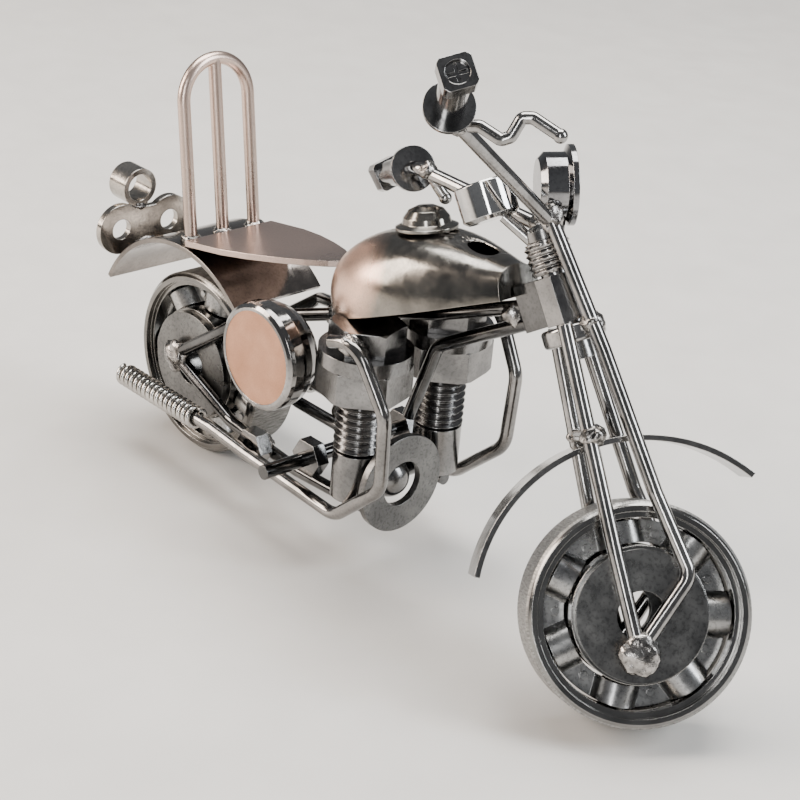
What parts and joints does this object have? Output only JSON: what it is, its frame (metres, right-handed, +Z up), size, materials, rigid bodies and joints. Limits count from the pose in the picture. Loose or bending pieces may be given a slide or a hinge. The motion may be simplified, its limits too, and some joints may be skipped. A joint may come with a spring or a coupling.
{
  "type": "scrap-metal motorcycle model",
  "caption": "Welded scrap-metal chopper model: ball-bearing wheels that spin, a fork that steers, bolt engine cylinders, spring silencers, sheet tank, tapered seat and wire back rest.",
  "frame": {"origin": "on the ground, straight under the rear wheel's axle, in the model's middle plane", "axes": "+X forwards, +Y to the rider's left, +Z up"},
  "size_m": [0.1703, 0.0633, 0.1195],
  "materials": {
    "bearing_ring": "ground bearing steel with a dark gloss lacquer and orange-peel speckle",
    "bearing_ball": "polished",
    "cage_steel": "pressed sheet, satin",
    "washer_steel": "dark lacquered zinc",
    "frame_wire": "black-nickel gloss",
    "exhaust_wire": "black-nickel gloss",
    "spring_steel": "drawn spring wire",
    "bolt_steel": "dark lacquered",
    "fork_wire": "gunmetal gloss",
    "grip_steel": "gunmetal gloss",
    "tank_shell": "gunmetal gloss with pitted solder marks",
    "sheet_dark": "black-nickel gloss sheet",
    "sheet_fork": "gunmetal gloss sheet with a bare cut edge",
    "seat_copper": "copper-tinted gloss sheet",
    "back_rest": "copper-tinted gloss wire",
    "tail_steel": "warm gunmetal gloss",
    "cleaner_body": "gunmetal gloss",
    "copper_face": "satin copper-coloured face",
    "gauge_chrome": "bright",
    "headlight_steel": "gunmetal gloss",
    "headlight_lens": "dark gloss"
  },
  "bodies": {
    "frame": {"air_cleaner_body": "cleaner_body", "air_cleaner_face": "copper_face", "back_rest": "back_rest", "crank_ball": "bolt_steel", "crank_cross_bar": "frame_wire", "crank_washer": "washer_steel", "cylinder_barrels": "bolt_steel", "cylinder_bases": "bolt_steel", "cylinder_heads": "bolt_steel", "cylinder_nuts": "bolt_steel", "down_tube": "frame_wire", "exhaust_pipe_left": "exhaust_wire", "exhaust_pipe_right": "exhaust_wire", "foot_peg_bar": "frame_wire", "foot_peg_nuts": "bolt_steel", "gasket_washers": "bolt_steel", "head_nut": "bolt_steel", "lower_rails": "frame_wire", "muffler_springs": "spring_steel", "neck_gusset": "frame_wire", "rail_nuts": "bolt_steel", "rear_fender": "sheet_dark", "rear_hub_washers": "washer_steel", "rear_inner_ring": "bearing_ring", "seat_plate": "seat_copper", "seat_tube": "frame_wire", "tail_lamp": "tail_steel", "tail_plate": "tail_steel", "tank_cap": "tank_shell", "tank_shell": "tank_shell", "top_rod": "frame_wire", "upper_stays": "frame_wire"},
    "fork": {"stem_bolt": "bolt_steel", "lower_clamp": "fork_wire", "upper_clamp": "fork_wire", "fork_front_legs": "fork_wire", "fork_rear_legs": "fork_wire", "fender_cross_bar": "fork_wire", "front_fender": "sheet_fork", "handlebar": "fork_wire", "grip_flanges": "grip_steel", "grips": "grip_steel", "grip_end_nuts": "grip_steel", "grip_screws": "grip_steel", "hand_levers": "fork_wire", "gauge_cup": "gauge_chrome", "gauge_stalk": "fork_wire", "headlight_shell": "headlight_steel", "headlight_lens": "headlight_lens", "headlight_bracket": "fork_wire", "front_inner_ring": "bearing_ring", "front_hub_washers": "washer_steel"},
    "rear_wheel": {"rear_outer_ring": "bearing_ring"},
    "front_wheel": {"front_outer_ring": "bearing_ring"},
    "rear_ball_set": {"rear_balls": "bearing_ball", "rear_cage": "cage_steel", "rear_cage_rivets": "cage_steel"},
    "front_ball_set": {"front_balls": "bearing_ball", "front_cage": "cage_steel", "front_cage_rivets": "cage_steel"}
  },
  "joints": [
    {"name": "steering", "type": "hinge", "parent": "frame", "child": "fork", "pos_m": [0.1268, 0, 0.02167], "axis": [-0.5432, 0, 0.8396], "range_deg": [-113, 0]},
    {"name": "rear_wheel_spin", "type": "hinge", "parent": "frame", "child": "rear_wheel", "pos_m": [0, 0, 0.02], "axis": [0, 1, 0], "continuous": true},
    {"name": "rear_ball_set_spin", "type": "hinge", "parent": "frame", "child": "rear_ball_set", "pos_m": [0, 0, 0.02], "axis": [0, 1, 0], "continuous": true},
    {"name": "front_wheel_spin", "type": "hinge", "parent": "fork", "child": "front_wheel", "pos_m": [0.12467, -0.00372, 0.02029], "axis": [-0.6936, 0.5635, -0.4487], "continuous": true},
    {"name": "front_ball_set_spin", "type": "hinge", "parent": "fork", "child": "front_ball_set", "pos_m": [0.12467, -0.00372, 0.02029], "axis": [-0.6936, 0.5635, -0.4487], "continuous": true}
  ],
  "couplings": [
    {"joint": "rear_ball_set_spin", "follows": "rear_wheel_spin", "ratio": 0.6184},
    {"joint": "front_ball_set_spin", "follows": "front_wheel_spin", "ratio": 0.6184}
  ]
}
